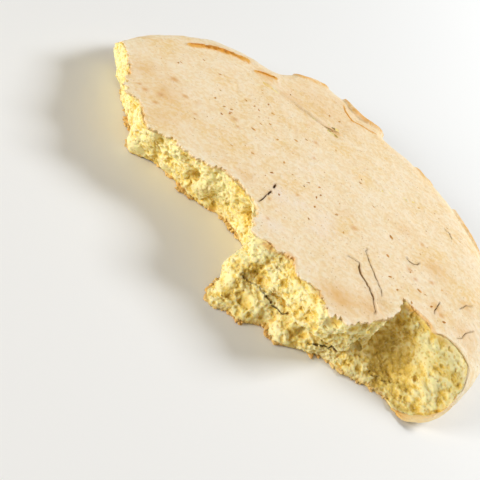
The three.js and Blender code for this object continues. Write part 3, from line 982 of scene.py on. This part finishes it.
def edge_flakes(count, side, seed, rise, out_reach, size_range):
    """Flat pebbles along an edge of the tear: rise and out_reach are ranges in mm."""
    draw = np.random.default_rng(seed)
    share, walked = even_shares(EDGE_STEPS)
    edge = ragged_edge(share, walked, side, 0.0)
    thick = 0.5 + along_random(walked, 9, seed) + 0.5 * along_random(walked, 3, seed + 1)
    chance = np.clip(thick, 0.05, None) ** 1.5
    chance[:TIP_STEPS] = chance[-TIP_STEPS:] = 0
    at = draw.choice(EDGE_STEPS, count, p=chance / chance.sum())
    middles = at_height(edge[at], 0.0)
    middles += out_of_tear(share)[at] * draw.uniform(*out_reach, (count, 1))
    foot = crust_height(*edge[at].T) if side == "top" else 0
    middles[:, 2] = foot + draw.uniform(*rise, count)
    size = draw.uniform(*size_range, count)
    shape = [draw.uniform(*reach, count) for reach in ((0.7, 1.5), (0.5, 1.0), (0.3, 0.5))]
    ways = draw.normal(0, 0.5, (count, 3)) + UP
    points, faces = pebbles(middles, size[:, None] * np.stack(shape, -1), seed + 2,
                            lumpiness=0.35, ways=ways)
    points[:, 2] = np.maximum(points[:, 2], 0.02)
    return points, faces


crust_flakes = make_piece("crust_flakes", *edge_flakes(
    CRUST_FLAKES, "top", 201, rise=(-1.3, -0.3), out_reach=(-0.6, 0.5), size_range=(0.3, 0.9)))
base_chips = make_piece("base_chips", *edge_flakes(
    BASE_CHIPS, "base", 211, rise=(0.3, 1.7), out_reach=(-0.6, 1.1), size_range=(0.3, 0.85)))

# %% [markdown]
# ## Marks on the surface
# Where the oven toasted the crust, where flour stayed on it and where it broke are facts of
# this loaf and not of its material. Other marks are painted shade: inside the cracks and slits, in
# the crumb's pits and hollows, and in one patch by the lobe. They are all worked out from places
# in millimetres and kept on the points as named values from 0 to 1, which the materials read.

# %% Marks of the crust
# toasted patches; the one at (-80, 94), where the crown meets the lobe's flank, is painted shade
TOASTED = [  # x, y, reach, strength
    (66, -28, 9, 0.95), (79, 50, 8, 0.6), (-80, 94, 6, 0.8), (-56, 94, 9, 0.5),
    (77, -18, 9, 0.6), (-84, 4, 12, 0.4), (29, 30, 6, 0.3), (52, 59, 7, 0.35),
    (-66, -18, 8, 0.4), (95, 24, 4, 0.7), (114, 27, 6, 0.7), (104, 45, 4, 0.8),
    (-45, 116, 26, 0.4), (-104, 6, 12, 0.4), (-74, -4, 14, 0.35), (-14, -10, 6, 0.35),
]
SCORCHED_EDGE = [  # the same, where the crust browned along the tear
    (28, -37, 5, 1.0), (36, -35, 4.5, 1.0), (-20, -22, 5, 1.0), (61, -37, 4, 0.8),
    (81, 7, 4, 0.8), (89, 6, 5, 1.0), (99, 6, 6, 1.0), (107, 6, 5, 0.7), (114, 11, 4, 0.3),
    (10, -28, 4, 0.5), (-72, -28, 5, 0.6), (-104, -6, 5, 0.6), (81, -15, 4, 0.5),
]
BURNT_SPOTS = [  # x, y, radius
    (-88, -10, 1.6), (-93, -9, 1.2), (-81, -5, 2.0), (-76, 10, 1.8), (-91, 17, 2.6),
    (-77, -13, 1.3), (-62, 3, 1.1), (-52, 27, 1.8), (-46, 22, 1.2), (4, -10, 1.0),
    (14, -24, 1.0), (38, 24, 1.8), (72, 32, 1.6), (78, 29, 1.2), (64, 60, 1.3),
    (-20, 66, 1.6), (-10, 50, 1.2), (8, 10, 1.0), (100, 22, 1.6), (84, 38, 1.4),
]
FLOURED = [(8, -1, 16, 1), (30, 6, 20, 0.8), (17, -25, 9, 0.9), (96, 14, 12, 0.7),
           (-45, 0, 18, 0.5), (-60, 70, 24, 0.5), (46, -10, 12, 0.6), (70, 80, 24, 0.3)]
# places of painted shade, olive, in the hollows and caves of the torn face
MOIST = [(98, -8, 14, 12, 0.9), (104, -13, 8, 8, 0.7), (-34, -17, 15, 5, 0.5),  # x, y, z, ...
         (-16, -11, 10, 7, 0.4), (88, -20, 12, 5, 0.5), (1, -16, 19, 7, 0.5)]  # reach, amount


def patches(x, y, places):
    """The strongest of several hills at given places."""
    value = np.zeros_like(x)
    for px, py, reach, strength in places:
        value = np.maximum(value, strength * hill(np.hypot(x - px, y - py) / reach))
    return value


def set_marks(piece, **marks):
    """Keeps named values for each point of a piece."""
    for name, value in marks.items():
        attribute = piece.data.attributes.new(name, "FLOAT", "POINT")
        attribute.data.foreach_set("value", np.clip(value, 0, 1).astype(np.float32))


def in_cracks(x, y, cracks, soft):
    """1 inside the given cracks in plan, and fading out over a soft edge in mm."""
    inside = np.zeros_like(x)
    for half_width, _, corners in cracks:
        away = distance_to_line(x, y, corners) - half_width
        inside = np.maximum(inside, hill(np.maximum(away, 0) / soft))
    return inside


def mark_crust(piece):
    """toast, with one patch of painted shade by the lobe, flour, golden low on the rim, broken
    where the crust's section shows, browned along the tear, in folds and on rim strips, burnt
    spots, and painted shade inside the cracks."""
    points = points_of(piece)
    x, y, z = points.T
    uneven = uneven_at(points, 111)
    beyond = (y - CREASE_FROM[1]) - (x - CREASE_FROM[0]) * 0.13 > 0
    by_lobe = 0.8 * beyond * hill(distance_to_line(x, y, LOBE_CRACK) / 4)
    toast = np.maximum(patches(x, y, TOASTED), by_lobe) * (1 + 0.4 * uneven)
    surface = crust_height(x, y)
    depth = surface + crust_detail(np.column_stack([x, y, surface])) - z
    inside = rim_radius(degrees_of(x, y)) - np.hypot(x, y)
    on_top = smoothstep(inside, 6, 14)
    from_edge = distance_to_line(x, y, EDGE_LINE)
    scorched = hill(from_edge / 1.6) * patches(x, y, SCORCHED_EDGE)
    scorched = scorched * smoothstep(uneven, -0.5, 0.2)
    in_holes = 0.7 * smoothstep(depth, -0.1, 0.3) * smoothstep(from_edge, 2, 4) * on_top
    folds = in_cracks(x, y, GOLDEN_FOLDS, 0.35)
    strips = 0.85 * rim_strips(points)[0] * smoothstep(uneven, -1.0, 0.3)
    set_marks(piece, toast=toast + 0.3 * smoothstep(uneven, 0.5, 1.3),
              flour=patches(x, y, FLOURED) * (0.75 + 0.35 * uneven),
              golden=1 - smoothstep(z + 2.2 * uneven, 5, 15),
              broken=smoothstep(depth, 0.2, 0.6) * on_top,
              browned=np.max([scorched, in_holes, folds, strips], axis=0),
              burnt=patches(x, y, [(*spot, 1.0) for spot in BURNT_SPOTS]),
              crack=in_cracks(x, y, DARK_CRACKS, 0.25) * smoothstep(depth, -0.2, 0.3))


def mark_crumb(piece):
    """painted shade in the pits of the relief, dark painted shade by slits and under cracks, olive
    painted shade in the larger hollows, and how near a point is to the crust and the base."""
    points = points_of(piece)
    x, y, z = points.T
    uneven = uneven_at(points, 111)
    relief = crumb_grain(points) + 0.5 * crumb_lumps(points)
    # painted shade: dark brown round the slits' cores and in the crumb under the crown's cracks
    nearest = np.full(len(points), 99.0)
    for spot in SLIT_CORES[::2]:
        nearest = np.minimum(nearest, np.linalg.norm(points - spot, axis=1))
    below = crust_height(x, y) - z
    cracked = in_cracks(x, y, DARK_CRACKS, 0.4) * smoothstep(below, 0.3, 0.8) * (below < 7)
    folded = in_cracks(x, y, GOLDEN_FOLDS, 0.4) * (below < 4)
    scorched = patches(x, y, SCORCHED_EDGE) * smoothstep(uneven, -0.5, 0.2)
    near = (1 - smoothstep(below, 0.8, 2.4)) * np.clip(0.15 + scorched, 0, 1)
    # painted shade in the larger hollows and caves
    moist = sum(much * hill(np.linalg.norm(points - (mx, my, mz), axis=1) / reach)
                for mx, my, mz, reach, much in MOIST)
    # painted shade: the deeper a point lies in the relief, the higher this mark
    set_marks(piece, hollow=smoothstep(-relief, -0.9, 1.5),
              deep=np.maximum(1 - smoothstep(nearest, 0.4, 1.3), cracked),
              near_crust=np.maximum(near, folded),
              near_base=1 - smoothstep(z + 0.6 * uneven, 0.8, 2.8),
              moist=moist * (0.8 + 0.4 * uneven))


mark_crust(crust)
mark_crust(crust_flakes)
mark_crumb(crumb)
mark_crumb(grains)

# %% [markdown]
# ## Materials
# Colours are sRGB hex values turned to linear by one function. One more function adds a node
# with its settings and links, and everything else is this bread's own recipe.

# %% Colour and node helpers


def linear(hex_colour):
    """sRGB hex to linear: c/12.92 when dark, else ((c + 0.055)/1.055)^2.4."""
    channels = np.array([int(hex_colour[n:n + 2], 16) / 255 for n in (1, 3, 5)])
    curve = np.where(channels <= 0.04045, channels / 12.92, ((channels + 0.055) / 1.055) ** 2.4)
    return (*curve, 1.0)


def add(tree, kind, inputs=None, stops=None, **settings):
    """Adds a shader node: settings are its properties, inputs its values or the sockets or
    nodes they take, where a node stands for its first output."""
    made = tree.nodes.new("ShaderNode" + kind)
    for name, value in settings.items():
        setattr(made, name, value)
    for key, value in (inputs or {}).items():
        if isinstance(value, bpy.types.Node):
            value = value.outputs[0]
        if isinstance(value, bpy.types.NodeSocket):
            tree.links.new(value, made.inputs[key])
        else:
            made.inputs[key].default_value = value
    for n, (place, colour) in enumerate(stops or []):
        ramp = made.color_ramp.elements
        stop = ramp[n] if n < len(ramp) else ramp.new(place)
        stop.position, stop.color = place, linear(colour)
    return made


def start_material(name, marks=(), noises=()):
    """An empty material with what each one starts from: its tree, the place of a point, the
    marks by name, and noise patterns, each from a size in mm, a detail and a roughness."""
    material = bpy.data.materials.new(name)
    material.use_nodes = True
    tree = material.node_tree
    tree.nodes.clear()
    place = add(tree, "TexCoord").outputs["Object"]
    marks = {mark: add(tree, "Attribute", attribute_name=mark).outputs["Fac"]
             for mark in marks}
    noises = [add(tree, "TexNoise", {"Vector": place, "Scale": 1 / (size * MM),
                                     "Detail": detail, "Roughness": rough})
              for size, detail, rough in noises]
    return material, tree, place, marks, noises


def paint(tree, colour, layers):
    """Lays colours over one another: each layer is a place, a hex and its greatest share."""
    for where, tint, most in layers:
        share = add(tree, "Math", {0: where, 1: most}, operation="MULTIPLY")
        colour = add(tree, "Mix", {"Factor": share, "A": colour, "B": linear(tint)},
                     data_type="RGBA").outputs[2]
    return colour


def finish_material(material, constants):
    """The shader with its colour, bump and constants, and the output."""
    tree = material.node_tree
    shader = add(tree, "BsdfPrincipled", constants)
    add(tree, "OutputMaterial", {"Surface": shader})
    return material


# %% [markdown]
# ### Floured wheat crust
# A dry, matte skin: starch that dried pale in the oven, toasted where it stood up, with flour
# on top. Starch bends light by about 1.5, and a little less with the air in it, but flour
# scatters so much that it never shines. Grain of 2.6 and 0.7 mm is in its colour and its bump.

# %% Crust material


def floured_crust():
    """Cream and straw blotches, then flour, toast with a patch of painted shade, gold, scorched
    spots, broken edges and painted shade in cracks.
    """
    material, tree, place, marks, (blotch, mottle, dust) = start_material(
        "floured_wheat_crust",
        ("toast", "flour", "golden", "broken", "browned", "burnt", "crack"),
        ((22, 4.0, 0.6), (2.6, 3.0, 0.65), (0.7, 2.0, 0.7)))
    skin = add(tree, "ValToRGB", {"Fac": blotch}, [
        (0.34, "#f9e9c9"), (0.50, "#f7e3bc"), (0.64, "#f3d8a3")])
    dusted = add(tree, "Math", {0: marks["flour"], 1: dust}, operation="MULTIPLY")
    pores = add(tree, "TexVoronoi", {"Vector": place, "Scale": 1 / (2.2 * MM)})
    pale, dark, dusted, rare, speck = (
        add(tree, "MapRange", {"Value": value, "From Min": low, "From Max": high})
        for value, low, high in ((mottle, 0.46, 0.62), (mottle, 0.50, 0.36), (dusted, 0.18, 0.48),
                                 (mottle, 0.48, 0.58), (pores, 0.26, 0.08)))
    speck = add(tree, "Math", {0: speck, 1: rare}, operation="MULTIPLY")
    colour = paint(tree, skin, (
        (pale, "#fdf3de", 0.5), (dark, "#e6c284", 0.3), (dusted, "#f9eddd", 0.85),
        # toasted patches, and one patch of painted shade by the lobe
        (marks["toast"], "#e4b36a", 0.8), (marks["golden"], "#f5d896", 0.7),
        (marks["broken"], "#eccb86", 0.85), (marks["browned"], "#eaa93a", 0.9),
        # painted shade: dark brown inside the crown's cracks
        (marks["burnt"], "#d89a4c", 0.75), (marks["crack"], "#703c06", 0.9),
        (speck, "#c9a055", 0.8)))
    coarse = add(tree, "Bump", {"Height": mottle, "Strength": 0.8, "Distance": 0.9 * MM})
    bump = add(tree, "Bump", {"Height": dust, "Strength": 0.8, "Distance": 0.35 * MM,
                              "Normal": coarse})
    return finish_material(material, {
        "Base Color": colour, "Normal": bump, "Roughness": 0.88, "IOR": 1.45,
        "Specular IOR Level": 0.25, "Subsurface Weight": 0.15, "Subsurface Scale": 1.2 * MM,
        "Subsurface Radius": (1.0, 0.7, 0.4)})


# %% [markdown]
# ### Torn wheat crumb
# Moist starch round air: light goes a few millimetres into it and comes out yellower, so the
# hollows glow instead of going grey. Egg and fat in the dough give it its yellow. Its pits,
# hollows and slits also carry painted shade in their colour.

# %% Crumb material


def torn_crumb(name, glow):
    """Pale on proud grains, with painted shade that is deeper yellow in pits, olive in the larger
    hollows and dark brown in slits, and golden just over the base. The glow is the share of light
    that goes through it, which is none for a grain smaller than its reach."""
    material, tree, place, marks, (blotch, dust) = start_material(
        name, ("hollow", "deep", "near_crust", "near_base", "moist"),
        ((6, 4.0, 0.6), (1.1, 3.0, 0.7)))
    wander = add(tree, "Math", {0: blotch, 1: 0.9, 2: -0.45}, operation="MULTIPLY_ADD")
    # painted shade in the pits: darker and yellower the deeper a point lies in the relief
    depth = add(tree, "Math", {0: marks["hollow"], 1: wander}, operation="ADD")
    tone = add(tree, "ValToRGB", {"Fac": depth}, [
        (0.05, "#fff1b5"), (0.35, "#f8dc81"), (0.65, "#e8c55a"), (0.95, "#cfaa42")])
    # the cells are painted shade too: darker yellow where the pit bump dips
    cells = add(tree, "TexVoronoi", {"Vector": place, "Scale": 1 / (2.0 * MM)})
    cells = add(tree, "Math", {0: dust, 1: 0.5, 2: cells}, operation="MULTIPLY_ADD")
    pale, cell = (
        add(tree, "MapRange", {"Value": value, "From Min": low, "From Max": high})
        for value, low, high in ((dust, 0.5, 0.72), (cells, 0.62, 0.42)))
    colour = paint(tree, tone, (
        # the olive layer is painted shade in the larger hollows and caves
        (pale, "#fff2bb", 0.65), (cell, "#dfba5c", 0.6), (marks["moist"], "#dcc878", 0.5),
        (marks["near_crust"], "#e3aa48", 0.8), (marks["near_base"], "#e6bb60", 0.6),
        # painted shade, dark brown in slits and under cracks
        (marks["deep"], "#6c3c08", 0.95)))
    pitted = add(tree, "Bump", {"Height": cell, "Strength": 0.5, "Distance": 0.35 * MM},
                 invert=True)
    bump = add(tree, "Bump", {"Height": dust, "Strength": 0.8, "Distance": 0.35 * MM,
                              "Normal": pitted})
    return finish_material(material, {
        "Base Color": colour, "Normal": bump, "Roughness": 0.9, "IOR": 1.4,
        "Specular IOR Level": 0.15, "Subsurface Weight": glow, "Subsurface Scale": 1.5 * MM,
        "Subsurface Radius": (1.0, 0.75, 0.3)})


# %% [markdown]
# ### Tray-baked base
# The same skin, dried and browned by the hot tray: golden brown, in blotches where it lay
# closer to the metal or further from it.

# %% Base material


def tray_baked_crust():
    """Golden brown with blotches of 12 mm and grain of 1.5 mm."""
    material, tree, _, _, (blotch, grain) = start_material(
        "tray_baked_crust", noises=((12, 5.0, 0.65), (1.5, 3.0, 0.7)))
    tone = add(tree, "ValToRGB", {"Fac": blotch}, [
        (0.32, "#f0d08c"), (0.5, "#e8be6c"), (0.68, "#d8a450")])
    pale = add(tree, "MapRange", {"Value": grain, "From Min": 0.45, "From Max": 0.7})
    bump = add(tree, "Bump", {"Height": grain, "Strength": 0.6, "Distance": 0.3 * MM})
    return finish_material(material, {
        "Base Color": paint(tree, tone, [(pale, "#f4dba4", 0.5)]), "Normal": bump,
        "Roughness": 0.75, "IOR": 1.45, "Specular IOR Level": 0.3, "Subsurface Weight": 0.1,
        "Subsurface Scale": 1.0 * MM})


# %% Every piece gets its material and its body, and the imported solid is hidden
CRUST_MATERIAL = floured_crust()
BASE_MATERIAL = tray_baked_crust()
for piece, material, slot in (
    (crust, CRUST_MATERIAL, "crust"),
    (crust_flakes, CRUST_MATERIAL, "crust"),
    (crumb, torn_crumb("torn_wheat_crumb", 0.4), "crumb"),
    (grains, torn_crumb("dry_wheat_crumbs", 0.0), "crumb"),
    (base_crust, BASE_MATERIAL, "base_crust"),
    (base_chips, BASE_MATERIAL, "base_crust"),
):
    piece.data.materials.clear()
    piece.data.materials.append(material)
    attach(piece, "root")
    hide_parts(NODE)

# %% [markdown]
# ## Table and light
# A pale floor, a pale world and two broad lamps, the key behind and to the right and the fill
# in front and to the left: the picture's light is soft and leaves only a faint shadow.

# %% Floor
FLOOR_HALF = 3.0


def make_floor():
    """One large square at the height of the base."""
    corners = [(-1, -1), (1, -1), (1, 1), (-1, 1)]
    mesh = bpy.data.meshes.new("floor")
    mesh.from_pydata([(FLOOR_HALF * x, FLOOR_HALF * y, 0) for x, y in corners], [], [(0, 1, 2, 3)])
    floor = add_object("floor", mesh)
    material, tree, place, _, _ = start_material("white_table")
    cloud = add(tree, "TexNoise", {"Vector": place, "Scale": 1.5})
    tone = add(tree, "ValToRGB", {"Fac": cloud}, [(0.3, "#edefee"), (0.7, "#f0f1f0")])
    mesh.materials.append(finish_material(material, {
        "Base Color": tone, "Roughness": 0.55, "Specular IOR Level": 0.2}))


make_floor()

# %% Light
WORLD_STRENGTH = 0.33
LAMPS = [  # name, place in m, size in m, watts, colour
    ("key", (0.64, 1.14, 0.88), 0.5, 24.0, (0.96, 0.99, 1.05)),
    ("fill", (-0.80, -1.40, 0.50), 0.7, 21.0, (1.0, 0.99, 0.97)),
]


def make_light():
    """A pale warm world and broad square lamps that look at the bread."""
    world = bpy.data.worlds.new("studio")
    world.use_nodes = True
    background = world.node_tree.nodes["Background"]
    background.inputs["Color"].default_value = linear("#faeedc")
    background.inputs["Strength"].default_value = WORLD_STRENGTH
    bpy.context.scene.world = world
    for name, place, size, watts, tint in LAMPS:
        light = bpy.data.lights.new(name, "AREA")
        light.size, light.energy, light.color = size, watts, tint
        lamp = add_object(name, light)
        lamp.location = place
        lamp.rotation_euler = (-Vector(place)).to_track_quat("-Z", "Y").to_euler()
    bpy.context.scene.view_settings.view_transform = "Standard"


make_light()
